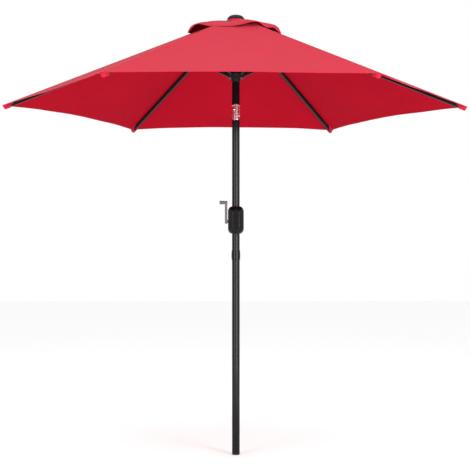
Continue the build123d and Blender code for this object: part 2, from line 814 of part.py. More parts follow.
finial_top_z = finial_z + finial_height
with BuildPart() as finial:
    with BuildSketch(Plane.XZ):
        with BuildLine():
            Polyline(
                (finial_r - 1.5, finial_z),
                (0, finial_z),
                (0, finial_top_z),
                (finial_flat_r, finial_top_z - 1.2),
            )
            ThreePointArc(
                (finial_flat_r, finial_top_z - 1.2),
                (finial_r - 9.5, finial_top_z - 6.6),
                (finial_r, finial_z + finial_rim),
            )
            ThreePointArc(
                (finial_r, finial_z + finial_rim),
                (finial_r + 0.2, finial_z + 1.6),
                (finial_r - 1.5, finial_z),
            )
        make_face()
    revolve(axis=Axis.Z)
    with BuildSketch(Plane.XY.offset(finial_z)):
        Circle(stud_r + slip)
    extrude(amount=hub_top_z + stud_proud + finial_bore_roof - finial_z, mode=Mode.SUBTRACT)
save(finial, "finial")

# ---------------------------------------------------------------- runner
groove_plane = Plane(origin=(0, 0, runner_z - runner_collar_down), x_dir=tilt_axis, z_dir=(0, 0, 1))
with BuildPart() as runner:
    with BuildSketch(Plane.XY.offset(runner_z - runner_collar_down)):
        Circle(runner_collar_r)
    extrude(amount=runner_collar_down)
    chamfer(runner.edges().group_by(Axis.Z)[0], 1.2)
    with BuildSketch(Plane.XY.offset(runner_z - runner_flange_down)):
        Circle(runner_r)
    extrude(amount=runner_flange_down + runner_flange_up)
    with BuildSketch(Plane.XY.offset(runner_z + runner_flange_up)):
        Circle(runner_sleeve_r)
    extrude(amount=runner_sleeve_up - runner_flange_up)
    with BuildSketch(Plane.XY.offset(runner_z - runner_collar_down)):
        Circle(pole_r + sliding_gap)
    extrude(amount=runner_collar_down + runner_sleeve_up, mode=Mode.SUBTRACT)
    # a groove down the bore lets the runner pass the tilt button
    groove_reach = pole_r + button_proud + sliding_gap
    with BuildSketch(groove_plane):
        with Locations((groove_reach / 2, 0)):
            Rectangle(groove_reach, 2 * (button_r + sliding_gap))
    extrude(amount=runner_collar_down + runner_sleeve_up, mode=Mode.SUBTRACT)
    slot_length = runner_r - slot_floor_r + 2
    for azimuth in azimuths:
        side = Plane(
            origin=radial(azimuth) * pivot_r + Vector(0, 0, runner_z),
            x_dir=radial(azimuth),
            z_dir=-tangent(azimuth),
        )
        with BuildSketch(side):
            with Locations((slot_floor_r - pivot_r + slot_length / 2, 10 - runner_slot_down)):
                Rectangle(slot_length, 20)
        extrude(amount=strut_width / 2 + face_gap, both=True, mode=Mode.SUBTRACT)
        with BuildSketch(side):
            Circle(strut_pin_r + slip)
            with Locations((0, -runner_flange_down / 2)):
                Rectangle(2 * (strut_pin_r + slip), runner_flange_down)
        extrude(amount=strut_pin_half + slip, both=True, mode=Mode.SUBTRACT)
    with BuildSketch(Plane.XY.offset(runner_z + runner_flange_up)):
        with Locations(cord_side * cord_drop_arm):
            Circle(cord_r + slip)
    extrude(amount=-runner_flange_up, mode=Mode.SUBTRACT)
save(runner, "runner")

with BuildPart() as runner_ring_plate:
    with BuildSketch(Plane.XY.offset(runner_z - runner_flange_down)):
        ring(runner_r, runner_collar_r + slip)
    extrude(amount=-runner_ring)
    chamfer(runner_ring_plate.edges().group_by(Axis.Z)[0].sort_by(Axis.X)[-1], 0.8)
save(runner_ring_plate, "runner_ring")

with BuildPart() as strut_pins:
    for azimuth in azimuths:
        with BuildSketch(strut_frame(azimuth)):
            Circle(strut_pin_r)
        extrude(amount=strut_pin_half, both=True)
save(strut_pins, "strut_pins")

# ---------------------------------------------------------------- ribs and struts
plate_inner = rib_width / 2 + 2 * slip
plate_outer = plate_inner + bracket_plate
rivet_places = [(strut_reach + step, -bracket_rivet_drop) for step in (-bracket_rivet_step, bracket_rivet_step)]


def make_rib(azimuth):
    """Steel rib tube with its hub fitting, its two bracket plates and their rivets."""
    side = rib_frame(azimuth)
    with BuildPart() as rib:
        with BuildSketch(across(side, rib_start)):
            RectangleRounded(rib_width, rib_depth, rib_corner_r)
            RectangleRounded(
                rib_width - 2 * rib_wall,
                rib_depth - 2 * rib_wall,
                rib_corner_r - rib_wall,
                mode=Mode.SUBTRACT,
            )
        extrude(amount=rib_end - rib_start)
        with BuildSketch(side):
            with Locations(*rivet_places):
                Circle(bracket_rivet_r + slip)
        extrude(amount=rib_width, both=True, mode=Mode.SUBTRACT)
    return rib


def make_rib_fitting(azimuth):
    """Tongue that hangs on the hub's pin, with the plug that fills the rib's end."""
    side = rib_frame(azimuth)
    with BuildPart() as fitting:
        with BuildSketch(side):
            Circle(rib_tongue_r)
            with Locations((rib_start / 2, 0)):
                Rectangle(rib_start, 2 * rib_tongue_r)
        extrude(amount=rib_tongue_half, both=True)
        with BuildSketch(across(side, rib_start)):
            RectangleRounded(
                rib_width - 2 * (rib_wall + slip),
                rib_depth - 2 * (rib_wall + slip),
                rib_corner_r - rib_wall,
            )
        extrude(amount=rib_plug)
        with BuildSketch(side):
            Circle(rib_pin_r + slip)
        extrude(amount=rib_width, both=True, mode=Mode.SUBTRACT)
    return fitting


def make_bracket(azimuth):
    """Two plates either side of the rib, the rivets that hold them, and the strut's rivet below."""
    side = rib_frame(azimuth)
    with BuildPart() as bracket:
        for face in (plate_inner, -plate_outer):
            with BuildSketch(side.offset(face)):
                with Locations((strut_reach, (bracket_top - rib_depth / 2) / 2)):
                    Rectangle(2 * bracket_half, bracket_top + rib_depth / 2)
                with Locations((strut_reach, -bracket_drop)):
                    Circle(bracket_eye_r)
                make_hull()
                with Locations(*rivet_places):
                    Circle(bracket_rivet_r + slip, mode=Mode.SUBTRACT)
                with Locations((strut_reach, -bracket_drop)):
                    Circle(strut_pin_r + slip, mode=Mode.SUBTRACT)
            extrude(amount=bracket_plate)
    with BuildPart() as rivets:
        with BuildSketch(side):
            with Locations(*rivet_places):
                Circle(bracket_rivet_r)
            with Locations((strut_reach, -bracket_drop)):
                Circle(strut_pin_r)
        extrude(amount=plate_outer + rivet_head, both=True)
    return bracket, rivets


def make_tip(azimuth):
    """Moulded end of a rib: a plug in the tube and a rounded nose that fills the canopy's pocket."""
    side = rib_frame(azimuth)
    with BuildPart() as tip:
        with BuildSketch(across(side, rib_end - tip_plug)):
            RectangleRounded(
                rib_width - 2 * (rib_wall + slip),
                rib_depth - 2 * (rib_wall + slip),
                rib_corner_r - rib_wall,
            )
        extrude(amount=tip_plug)
        with BuildSketch(across(side, rib_end)):
            RectangleRounded(rib_width, rib_depth, rib_corner_r)
        extrude(amount=tip_length)
        nose = tip.faces().sort_by(Axis(side.origin, side.x_dir))[-1]
        fillet(nose.edges(), rib_corner_r - 0.4)
    return tip


def make_strut(azimuth):
    """Steel strut tube with a moulded eye in each end."""
    side = strut_frame(azimuth)
    with BuildPart() as tube:
        with BuildSketch(across(side, strut_eye_length)):
            RectangleRounded(strut_width, strut_depth, strut_corner_r)
            RectangleRounded(
                strut_width - 2 * strut_wall,
                strut_depth - 2 * strut_wall,
                strut_corner_r - strut_wall,
                mode=Mode.SUBTRACT,
            )
        extrude(amount=strut_length - 2 * strut_eye_length)
    eyes = []
    for reach, way in ((0, 1), (strut_length, -1)):
        with BuildPart() as eye:
            with BuildSketch(side):
                with Locations((reach, 0)):
                    Circle(strut_eye_r)
                with Locations((reach + way * strut_eye_length / 2, 0)):
                    Rectangle(strut_eye_length, 2 * strut_eye_r)
            extrude(amount=strut_width / 2, both=True)
            with BuildSketch(across(side, reach + way * strut_eye_length)):
                RectangleRounded(
                    strut_width - 2 * (strut_wall + slip),
                    strut_depth - 2 * (strut_wall + slip),
                    strut_corner_r - strut_wall,
                )
            extrude(amount=way * strut_plug)
            with BuildSketch(side):
                with Locations((reach, 0)):
                    Circle(strut_pin_r + slip)
            extrude(amount=strut_width, both=True, mode=Mode.SUBTRACT)
        eyes.append(eye)
    return tube, eyes


def along_panel(radius):
    """How far down the middle of a panel this canopy corner radius lies, from the ridge apex."""
    return radius * cos(half_angle) / cos(panel_slope)


def make_canopy_section(azimuth):
    """The canopy's cloth either side of one rib, out to the middle of each panel it borders."""
    with BuildPart() as section:
        for side in (1, -1):
            middle = azimuth + side * half_angle
            normal = radial(middle) * sin(panel_slope) + Vector(0, 0, cos(panel_slope))
            plane = Plane(origin=(0, 0, ridge_apex_z), x_dir=tangent(middle), z_dir=normal)
            outer_x = -side * canopy_r * sin(half_angle)
            inner_x = -side * canopy_vent_r * sin(half_angle)
            outer_y = -along_panel(canopy_r)
            inner_y = -along_panel(canopy_vent_r)
            middle_y = outer_y + hem_rise
            arc_r = (outer_x**2 + hem_rise**2) / (2 * hem_rise)
            swing = asin(abs(outer_x) / arc_r) / 2
            between = (-side * arc_r * sin(swing), middle_y - arc_r * (1 - cos(swing)))
            with BuildSketch(plane):
                with BuildLine():
                    Polyline((outer_x, outer_y), (inner_x, inner_y), (0, inner_y), (0, middle_y))
                    ThreePointArc((0, middle_y), between, (outer_x, outer_y))
                make_face()
            extrude(amount=-canopy_thickness)
    return section


for number, azimuth in enumerate(azimuths, start=1):
    bracket, rivets = make_bracket(azimuth)
    rib_pieces = [make_rib(azimuth), make_rib_fitting(azimuth), bracket, rivets]
    rib_group = Compound([solid for piece in rib_pieces for solid in piece.part.solids()])
    rib_group.label = f"rib_{number}"
    export_step(rib_group, f"parts/rib_{number}.step")

    tube, eyes = make_strut(azimuth)
    strut_group = Compound([solid for piece in [tube, *eyes] for solid in piece.part.solids()])
    strut_group.label = f"strut_{number}"
    export_step(strut_group, f"parts/strut_{number}.step")

    save(make_tip(azimuth), f"rib_tip_{number}")
    save(make_canopy_section(azimuth), f"canopy_section_{number}")

# ---------------------------------------------------------------- vent cap
with BuildPart() as vent_cap:
    for drop, mode in ((0, Mode.ADD), (vent_thickness, Mode.SUBTRACT)):
        with BuildSketch(Plane.XY.offset(cloth_top_z - drop)):
            RegularPolygon(vent_centre_r, rib_count)
        with BuildSketch(Plane.XY.offset(vent_edge_z - drop)):
            RegularPolygon(vent_r, rib_count)
        loft(mode=mode)
    with BuildSketch(Plane.XY.offset(cloth_top_z)):
        Circle(stud_r + cord_gap)
    extrude(amount=-2 * vent_thickness, mode=Mode.SUBTRACT)
save(vent_cap, "vent_cap")

# ---------------------------------------------------------------- lift cord
cord_start_z = shaft_z + sqrt(winding_r**2 - (spool_core_r - slip) ** 2) + cord_gap
winding_mid_r = (spool_core_r + winding_r) / 2 + slip
low_end = cord_side * cord_arm + Vector(0, 0, tilt_z)
with BuildPart() as lift_cord_lower:
    with BuildLine() as route:
        Line((0, winding_mid_r, cord_start_z), low_end)
    with BuildSketch(Plane(origin=route.line @ 0, z_dir=route.line % 0)):
        Circle(cord_r)
    sweep()
save(lift_cord_lower, "lift_cord_lower")

with BuildPart() as lift_cord_upper:
    with BuildLine(cord_plane) as route:
        Line((cord_arm, tilt_z + face_gap), (cord_arm, pulley_z))
        ThreePointArc(
            (cord_arm, pulley_z),
            (pulley_arm, pulley_z + pulley_groove_r + cord_r),
            (cord_drop_arm, pulley_z),
        )
        Line((cord_drop_arm, pulley_z), (cord_drop_arm, runner_z + face_gap))
    with BuildSketch(Plane(origin=low_end + Vector(0, 0, face_gap), z_dir=(0, 0, 1))):
        Circle(cord_r)
    sweep()
save(lift_cord_upper, "lift_cord_upper")

# ---------------------------------------------------------------- what the joints need
closed_flare = 4.0  # degrees between a folded rib and the pole
fold = 90 - closed_flare - rib_slope
runner_travel = 2 * strut_length * sin(strut_slope + radians(fold)) - (hub_pivot_z - runner_z)
print(f"fold {fold:.2f} degrees, runner at {runner_z:.3f} travels {runner_travel:.2f} mm")
print(f"height {finial_top_z:.2f}, ridge apex {ridge_apex_z:.3f}, vent edge {vent_edge_z:.3f}")
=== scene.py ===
# %% [markdown]
# # A crank-lift garden umbrella
# The hard parts of this umbrella (poles, crank, tilt joint, hub, ribs and struts) come ready made and to
# size. This lesson adds what makes them look real: cloth with seams, hems and thread, and a finish for
# every surface. All lengths are in metres, +Z is up and the crank handle is on the -X side.

import json
import math

import bpy
import numpy as np
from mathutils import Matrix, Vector


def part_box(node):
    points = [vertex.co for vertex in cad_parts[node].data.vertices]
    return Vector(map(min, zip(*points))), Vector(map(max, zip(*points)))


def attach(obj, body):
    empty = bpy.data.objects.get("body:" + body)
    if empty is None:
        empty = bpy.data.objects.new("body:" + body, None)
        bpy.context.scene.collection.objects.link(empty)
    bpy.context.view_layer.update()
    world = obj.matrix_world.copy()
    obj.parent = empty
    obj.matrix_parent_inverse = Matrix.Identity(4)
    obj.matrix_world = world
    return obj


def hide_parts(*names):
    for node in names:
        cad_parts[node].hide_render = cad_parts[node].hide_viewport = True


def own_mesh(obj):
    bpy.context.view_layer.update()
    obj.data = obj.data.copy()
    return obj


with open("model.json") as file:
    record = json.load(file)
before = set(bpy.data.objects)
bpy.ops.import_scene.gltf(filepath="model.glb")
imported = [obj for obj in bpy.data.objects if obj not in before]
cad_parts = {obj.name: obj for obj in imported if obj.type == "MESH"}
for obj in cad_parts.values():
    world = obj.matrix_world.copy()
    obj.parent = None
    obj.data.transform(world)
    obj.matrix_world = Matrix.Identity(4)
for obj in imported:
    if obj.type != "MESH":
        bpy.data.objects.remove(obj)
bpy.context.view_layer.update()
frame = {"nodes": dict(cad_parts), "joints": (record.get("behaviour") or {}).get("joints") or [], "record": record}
joints = {joint["name"]: joint for joint in frame["joints"]}

# %% [markdown]
# Studio pictures of garden goods are lit flat and bright, and their colours are meant to be read straight
# off the page. The Standard view transform keeps colours that way, where a filmic one would grey them.

# %% Colour handling
scene = bpy.context.scene
scene.view_settings.view_transform = "Standard"
scene.view_settings.look = "None"

# %% [markdown]
# ## Where the cloth goes
# The canopy is a shallow six-sided pyramid. Its ridges run above the ribs, so two points of one ridge,
# read from the ready-made cloth solid over rib 1, give the slope and the height of the point where all
# the ridges would meet. Everything sewn is placed from these few numbers.

# %% Measure the pyramid
RIBS = 6
HALF_PANEL = math.pi / RIBS
rib_numbers = range(1, RIBS + 1)
ridge_marks = [v.co for v in frame["nodes"]["canopy_section_1"].data.vertices if abs(v.co.y) < 1e-5]
ridge_low = max((p for p in ridge_marks if p.x > 1.0), key=lambda p: p.z)
ridge_high = max((p for p in ridge_marks if p.x < 0.2), key=lambda p: p.z)
SLOPE = (ridge_high.z - ridge_low.z) / (ridge_low.x - ridge_high.x)
APEX_Z = ridge_low.z + SLOPE * ridge_low.x
TIP_R = ridge_low.x
INNER_R = ridge_high.x
PANEL_SLOPE = SLOPE / math.cos(HALF_PANEL)
# Length down a panel's middle for each metre of R.
PER_R = math.cos(HALF_PANEL) * math.hypot(1, PANEL_SLOPE)
slope_degrees = round(math.degrees(math.atan(SLOPE)), 2)
print("ridge slope", slope_degrees, "apex", round(APEX_Z, 4), "tip", round(TIP_R, 4))

# %% Name each rib's joint, azimuth and body
fold_joint = {i: "canopy_fold" if i == 1 else f"rib_{i}_fold" for i in rib_numbers}
rib_pin = {i: Vector(joints[fold_joint[i]]["pos_m"]) for i in rib_numbers}
rib_azimuth = {i: math.atan2(rib_pin[i].y, rib_pin[i].x) for i in rib_numbers}
rib_body = {i: joints[fold_joint[i]]["child"] for i in rib_numbers}
HALVES = [(i, side) for i in rib_numbers for side in (1, -1)]
SIDE_NAME = {1: "left", -1: "right"}

# %% [markdown]
# ## One surface, cut at the right places
# The cover is one sewn surface with six panels. It has to fold with the ribs, so each rib carries its own
# two half panels. They are all cut from a single mathematical surface, `cloth_point`, whose shape and
# whose normals agree on both sides of every cut. Opened out, the cuts cannot be seen: the only lines that
# show are the real seams over the ribs.

# %% Panel directions
def radial(azimuth):
    """Level direction out from the pole."""
    return np.array([math.cos(azimuth), math.sin(azimuth), 0.0])


def panel_of(rib, side):
    """Number of the panel that this half belongs to: panel 1 is between ribs 1 and 2."""
    return rib if side == 1 else (rib - 2) % RIBS + 1


def panel_axes(panel):
    """Level outward direction, level sideways direction and outward normal of a panel."""
    middle = rib_azimuth[1] + (2 * panel - 1) * HALF_PANEL
    out = radial(middle)
    across = radial(middle + math.pi / 2)
    normal = out * PANEL_SLOPE + np.array([0, 0, 1.0])
    return out, across, normal / np.linalg.norm(normal)


# %% [markdown]
# Cloth pulled between two straight ribs is never flat. It sinks a little in the middle of the panel, the
# hem pulls into an arc, and faint creases run in from the pockets where the rib ends stretch it. These
# are added as small heights along the panel's normal, and all of them fade out at the ribs.

# %% The canopy's surface
HEM_RISE = 0.040
PANEL_SAG = 0.0105
HEM_DROOP = 0.004
rng = np.random.default_rng(7)
crease = {panel: rng.uniform(-1, 1, 8) for panel in rib_numbers}


def hem_r(u):
    """R of the hem where u runs from -1 at one rib to 1 at the next."""
    return TIP_R - HEM_RISE / PER_R * (1 - u**2)


def cloth_height(panel, r, u):
    """How far the cloth stands off the flat panel."""
    inset = 1 - u**2
    share = r / TIP_R
    c = crease[panel]
    height = -PANEL_SAG * inset * np.sin(math.pi * share**1.3)
    height -= HEM_DROOP * inset * share**8
    corner = np.exp(-((1 - share) / 0.16) ** 2) * np.abs(u) ** 1.5 * inset
    height += 0.0030 * corner * np.sin(26 * share + 9 * np.abs(u) + 2 * c[0])
    height += 0.0016 * inset * np.sin(2.6 * u + 2.0 * c[1] + 5 * share) * share
    height += 0.0010 * inset * np.sin(7.0 * u + 3.0 * c[2] - 6 * share) * share
    height += 0.0022 * inset * np.exp(-((share - 0.13) / 0.08) ** 2) * np.sin(9 * u + 4 * c[3])
    return height


def cloth_point(panel, r, u):
    """A point of the cloth's upper face."""
    out, across, normal = panel_axes(panel)
    r, u = np.broadcast_arrays(np.asarray(r, float), np.asarray(u, float))
    flat = (
        np.multiply.outer(r * math.cos(HALF_PANEL), out)
        + np.multiply.outer(r * u * math.sin(HALF_PANEL), across)
        + np.multiply.outer(APEX_Z - SLOPE * r, np.array([0, 0, 1.0]))
    )
    return flat + cloth_height(panel, r, u)[..., None] * normal


def surface_normal(point_at, r, u):
    """Outward unit normal of a surface given by a function of r and u."""
    step = 1e-4
    along = point_at(r + step, u) - point_at(r - step, u)
    sideways = point_at(r, u + step) - point_at(r, u - step)
    normal = np.cross(along, sideways)
    normal /= np.linalg.norm(normal, axis=-1, keepdims=True)
    return normal


# %% [markdown]
# A helper turns arrays of points into a Blender mesh. It can take a normal for each point: with exact
# normals from the surface function, the shading runs on smoothly from one piece of cloth to the next.

# %% Make a mesh object
def build_piece(name, points, faces, normals=None, uvs=None, slots=(), slot_of_face=None):
    """A mesh object from points, faces, and optional normals and UVs for each point."""
    mesh = bpy.data.meshes.new(name)
    mesh.from_pydata([tuple(p) for p in np.asarray(points, float)], [], [tuple(f) for f in faces])
    for material in slots:
        mesh.materials.append(material)
    if slot_of_face is not None:
        mesh.polygons.foreach_set("material_index", np.asarray(slot_of_face, np.int32))
    if uvs is not None:
        loops = np.zeros(len(mesh.loops), np.int32)
        mesh.loops.foreach_get("vertex_index", loops)
        layer = mesh.uv_layers.new(name="cloth")
        layer.data.foreach_set("uv", np.asarray(uvs, np.float32)[loops].ravel())
    mesh.polygons.foreach_set("use_smooth", np.ones(len(mesh.polygons), bool))
    mesh.update()
    if normals is not None:
        mesh.normals_split_custom_set_from_vertices([tuple(n) for n in np.asarray(normals, float)])
    piece = bpy.data.objects.new(name, mesh)
    scene.collection.objects.link(piece)
    return piece


def grid_faces(rows, columns, first=0, flip=False):
    """Quads of a grid of points laid out row by row."""
    faces = []
    for r in range(rows - 1):
        for c in range(columns - 1):
            a = first + r * columns + c
            quad = (a, a + 1, a + columns + 1, a + columns)
            faces.append(quad[::-1] if flip else quad)
    return faces


# %% [markdown]
# ## Finishes
# Each finish is a small node graph made by a function. The woven cloth has two crossed sets of yarns as
# bump, a slow change of tone from dyeing, and a soft sheen. The weave reads the cloth's own UVs, which
# are in metres, so a yarn is the same width everywhere.

# %% Node helpers
def new_material(name, colour, roughness, metallic=0.0, **settings):
    """A material with its main shader set up, the node tree, and that shader."""
    material = bpy.data.materials.new(name)
    material.use_nodes = True
    shader = material.node_tree.nodes["Principled BSDF"]
    shader.inputs["Base Color"].default_value = (*colour, 1)
    shader.inputs["Roughness"].default_value = roughness
    shader.inputs["Metallic"].default_value = metallic
    for socket, value in settings.items():
        shader.inputs[socket.replace("_", " ")].default_value = value
    return material, material.node_tree, shader


def add_node(tree, kind, **values):
    """A node with its properties or unconnected inputs set by name."""
    node = tree.nodes.new(kind)
    for key, value in values.items():
        if key in node.inputs:
            node.inputs[key].default_value = value
        else:
            setattr(node, key, value)
    return node


def math_node(tree, operation, first, second):
    """A two-input Math node fed by sockets or numbers."""
    node = add_node(tree, "ShaderNodeMath", operation=operation)
    for socket, value in zip(node.inputs, (first, second)):
        if isinstance(value, (int, float)):
            socket.default_value = value
        else:
            tree.links.new(value, socket)
    return node.outputs[0]


def tone_variation(tree, shader, colour, vector, scale, low, high):
    """Let a noise field move the base colour between a darker and a lighter tone."""
    noise = add_node(tree, "ShaderNodeTexNoise", Scale=scale, Detail=4.0, Roughness=0.6)
    tree.links.new(vector, noise.inputs["Vector"])
    ramp = tree.nodes.new("ShaderNodeValToRGB")
    ramp.color_ramp.elements[0].position = 0.3
    ramp.color_ramp.elements[1].position = 0.7
    ramp.color_ramp.elements[0].color = (*[c * low for c in colour], 1)
    ramp.color_ramp.elements[1].color = (*[min(1, c * high) for c in colour], 1)
    tree.links.new(noise.outputs["Fac"], ramp.inputs["Fac"])
    tree.links.new(ramp.outputs["Color"], shader.inputs["Base Color"])
    return noise


def roughness_variation(tree, shader, fac, low, high):
    """Let a field move the roughness between two values."""
    span = add_node(tree, "ShaderNodeMapRange")
    span.inputs["To Min"].default_value = low
    span.inputs["To Max"].default_value = high
    tree.links.new(fac, span.inputs["Value"])
    tree.links.new(span.outputs["Result"], shader.inputs["Roughness"])


def bump(tree, shader, height, strength, distance):
    """Feed a height field to the shader's normal."""
    node = add_node(tree, "ShaderNodeBump", Strength=strength, Distance=distance)
    tree.links.new(height, node.inputs["Height"])
    tree.links.new(node.outputs["Normal"], shader.inputs["Normal"])


# %% Woven canopy cloth
YARN = 0.00055


def woven_cloth(name, colour, roughness, sheen, specular, low=0.93, high=1.05):
    """Plain-weave polyester: crossed yarns, a little slub, a slow change of tone."""
    material, tree, shader = new_material(name, colour, roughness)
    shader.inputs["Sheen Weight"].default_value = sheen
    shader.inputs["Sheen Roughness"].default_value = 0.45
    shader.inputs["Sheen Tint"].default_value = (1.0, 0.72, 0.76, 1)
    shader.inputs["Specular IOR Level"].default_value = specular
    coords = tree.nodes.new("ShaderNodeTexCoord")
    split = tree.nodes.new("ShaderNodeSeparateXYZ")
    tree.links.new(coords.outputs["UV"], split.inputs["Vector"])
    yarns = []
    for socket in ("X", "Y"):
        phase = math_node(tree, "MULTIPLY", split.outputs[socket], math.pi / YARN)
        yarns.append(math_node(tree, "SINE", phase, 0.0))
    weave = math_node(tree, "MULTIPLY", yarns[0], yarns[1])
    slub = add_node(tree, "ShaderNodeTexNoise", Scale=420.0, Detail=3.0)
    tree.links.new(coords.outputs["UV"], slub.inputs["Vector"])
    height = math_node(tree, "ADD", weave, math_node(tree, "MULTIPLY", slub.outputs["Fac"], 0.8))
    bump(tree, shader, height, 0.35, 0.00012)
    tone = tone_variation(tree, shader, colour, coords.outputs["UV"], 2.2, low, high)
    roughness_variation(tree, shader, tone.outputs["Fac"], roughness - 0.06, roughness + 0.06)
    return material


# The cloth is the same on both faces. The inner face is painted darker and deeper red. This is painted shade for
# the underside of the canopy, with the deep red of light shining through the cloth painted in as well.
CANOPY_RED = (0.425, 0.0075, 0.027)
UNDER_RED_PAINTED_SHADE = (0.345, 0.003, 0.014)
cloth_outer = woven_cloth("canopy cloth, outer face", CANOPY_RED, 0.8, 0.04, 0.14)
cloth_inner_painted_shade = woven_cloth("canopy cloth, inner face with painted shade", UNDER_RED_PAINTED_SHADE, 0.9, 0.0, 0.03)
print("cloth finishes ready")


# %% Sewing thread and moulded, coated and plated parts
def thread_finish(name, colour):
    """Twisted polyester thread: fine slanting ridges along each stitch."""
    material, tree, shader = new_material(name, colour, 0.6, Sheen_Weight=0.3)
    coords = tree.nodes.new("ShaderNodeTexCoord")
    wave = add_node(tree, "ShaderNodeTexWave", Scale=900.0, Distortion=1.0, Detail=1.0)
    wave.bands_direction = "DIAGONAL"
    tree.links.new(coords.outputs["Object"], wave.inputs["Vector"])
    bump(tree, shader, wave.outputs["Fac"], 0.4, 0.0001)
    tone_variation(tree, shader, colour, coords.outputs["Object"], 60.0, 0.8, 1.15)
    return material


def coated_steel(name, colour, roughness, grain=0.25, specular=0.16):
    """Powder coat: a faint orange-peel skin over steel, a little uneven in gloss."""
    material, tree, shader = new_material(name, colour, roughness)
    shader.inputs["Specular IOR Level"].default_value = specular
    coords = tree.nodes.new("ShaderNodeTexCoord")
    peel = add_node(tree, "ShaderNodeTexNoise", Scale=520.0, Detail=2.0, Roughness=0.5)
    tree.links.new(coords.outputs["Object"], peel.inputs["Vector"])
    bump(tree, shader, peel.outputs["Fac"], grain, 0.00008)
    tone = tone_variation(tree, shader, colour, coords.outputs["Object"], 9.0, 0.85, 1.25)
    roughness_variation(tree, shader, tone.outputs["Fac"], roughness - 0.05, roughness + 0.08)
    return material


def moulded_plastic(name, colour, roughness, texture, depth, specular=0.3):
    """Injection-moulded plastic: spark-eroded grain, or nearly smooth where it is glossy."""
    material, tree, shader = new_material(name, colour, roughness)
    shader.inputs["Specular IOR Level"].default_value = specular
    coords = tree.nodes.new("ShaderNodeTexCoord")
    grain = add_node(tree, "ShaderNodeTexVoronoi", Scale=texture)
    tree.links.new(coords.outputs["Object"], grain.inputs["Vector"])
    bump(tree, shader, grain.outputs["Distance"], 0.3, depth)
    tone = tone_variation(tree, shader, colour, coords.outputs["Object"], 22.0, 0.9, 1.12)
    roughness_variation(tree, shader, tone.outputs["Fac"], roughness - 0.03, roughness + 0.05)
    return material


def plated_metal(name, colour, roughness, brush=0.0):
    """Plated or polished metal, with faint brushing where brush is above zero."""
    material, tree, shader = new_material(name, colour, roughness, 1.0)
    coords = tree.nodes.new("ShaderNodeTexCoord")
    stretch = add_node(tree, "ShaderNodeMapping", Scale=(1.0, 1.0, 0.08))
    tree.links.new(coords.outputs["Object"], stretch.inputs["Vector"])
    lines = add_node(tree, "ShaderNodeTexNoise", Scale=900.0, Detail=2.0)
    tree.links.new(stretch.outputs["Vector"], lines.inputs["Vector"])
    bump(tree, shader, lines.outputs["Fac"], 0.1 + brush, 0.00004)
    tone = tone_variation(tree, shader, colour, coords.outputs["Object"], 14.0, 0.92, 1.04)
    roughness_variation(tree, shader, tone.outputs["Fac"], max(0.03, roughness - 0.03), roughness + 0.05)
    return material


def braided_cord(name, colour):
    """Braided polyester cord: two slanting sets of strands."""
    material, tree, shader = new_material(name, colour, 0.75, Sheen_Weight=0.2)
    coords = tree.nodes.new("ShaderNodeTexCoord")
    braid = add_node(tree, "ShaderNodeTexWave", Scale=260.0, Distortion=2.0, Detail=2.0)
    braid.bands_direction = "DIAGONAL"
    tree.links.new(coords.outputs["Object"], braid.inputs["Vector"])
    bump(tree, shader, braid.outputs["Fac"], 0.6, 0.0003)
    tone_variation(tree, shader, colour, coords.outputs["Object"], 120.0, 0.7, 1.3)
    return material


GLOSS_BLACK = (0.003, 0.003, 0.004)
MATTE_BLACK = (0.010, 0.009, 0.010)
WARM_GREY = (0.095, 0.083, 0.086)
finish_of_slot = {
    "pole_black": coated_steel("pole, black powder coat", GLOSS_BLACK, 0.12, 0.03, 0.2),
    "steel_black": coated_steel("rib and strut, black powder coat", (0.006, 0.004, 0.005), 0.42),
    "plastic_gloss_black": moulded_plastic("glossy black plastic", GLOSS_BLACK, 0.14, 700, 0.00002, 0.18),
    "plastic_matte_black": moulded_plastic("matte black plastic", MATTE_BLACK, 0.5, 900, 0.00008, 0.2),
    "plastic_grey": moulded_plastic("warm grey plastic", WARM_GREY, 0.38, 800, 0.00006),
    "chromed": plated_metal("chromed tilt joint", (0.80, 0.78, 0.80), 0.16),
    "button_chrome": plated_metal("chromed button", (0.80, 0.80, 0.82), 0.08),
    "steel_bright": plated_metal("zinc-plated steel", (0.60, 0.60, 0.62), 0.30, 0.25),
    "canopy_red": cloth_outer,
    "cord": braided_cord("lift cord braid", (0.10, 0.10, 0.105)),
}
thread_red = thread_finish("canopy thread", (0.34, 0.010, 0.022))
slot_of_node = {row["node"]: row["material_slot"] for row in frame["record"]["subparts"]}
for node, part in frame["nodes"].items():
    part.data.materials.clear()
    part.data.materials.append(finish_of_slot[slot_of_node[node]])
print("finishes:", len(finish_of_slot) + 2)

# %% [markdown]
# ## Folding cloth
# When the umbrella closes, the ribs swing down and the cloth between them bunches into pleats. Each half
# panel rides on its rib. A squash direction towards the rib is worked out here, leaning a little into the
# panel as the bunched cloth of the real thing bulges outwards between the ribs, but the cloth is not squashed with
# it.

# %% Squash direction of a half panel
PLEAT_LEAN = math.radians(4.0)


def fold_axis(rib, side):
    """Direction in which this half closes towards its rib."""
    panel = panel_of(rib, side)
    own = radial(rib_azimuth[rib]) - np.array([0, 0, SLOPE])
    own /= np.linalg.norm(own)
    other = radial(rib_azimuth[rib] + side * 2 * HALF_PANEL) - np.array([0, 0, SLOPE])
    other /= np.linalg.norm(other)
    in_plane = other - own * (own @ other)
    in_plane /= np.linalg.norm(in_plane)
    return math.cos(PLEAT_LEAN) * in_plane - math.sin(PLEAT_LEAN) * panel_axes(panel)[2]


def fold_with_rib(piece, rib, side):
    """Ride on a rib; the squash direction towards it is worked out but not applied."""
    tuple(fold_axis(rib, side))
    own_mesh(piece)
    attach(piece, rib_body[rib])


# %% [markdown]
# ## The canopy
# Each half panel is a closed sheet about a millimetre thick. Its rows and columns are laid by distance
# from the hem and from the seam, so the folded hem, the felled seam over the rib and the grooves where
# the stitches sink in all keep their real width from the hub to the tip.

# %% Rows and columns
HEM_WIDTH = 0.014
SEAM_WIDTH = 0.0055
CLOTH = 0.0008
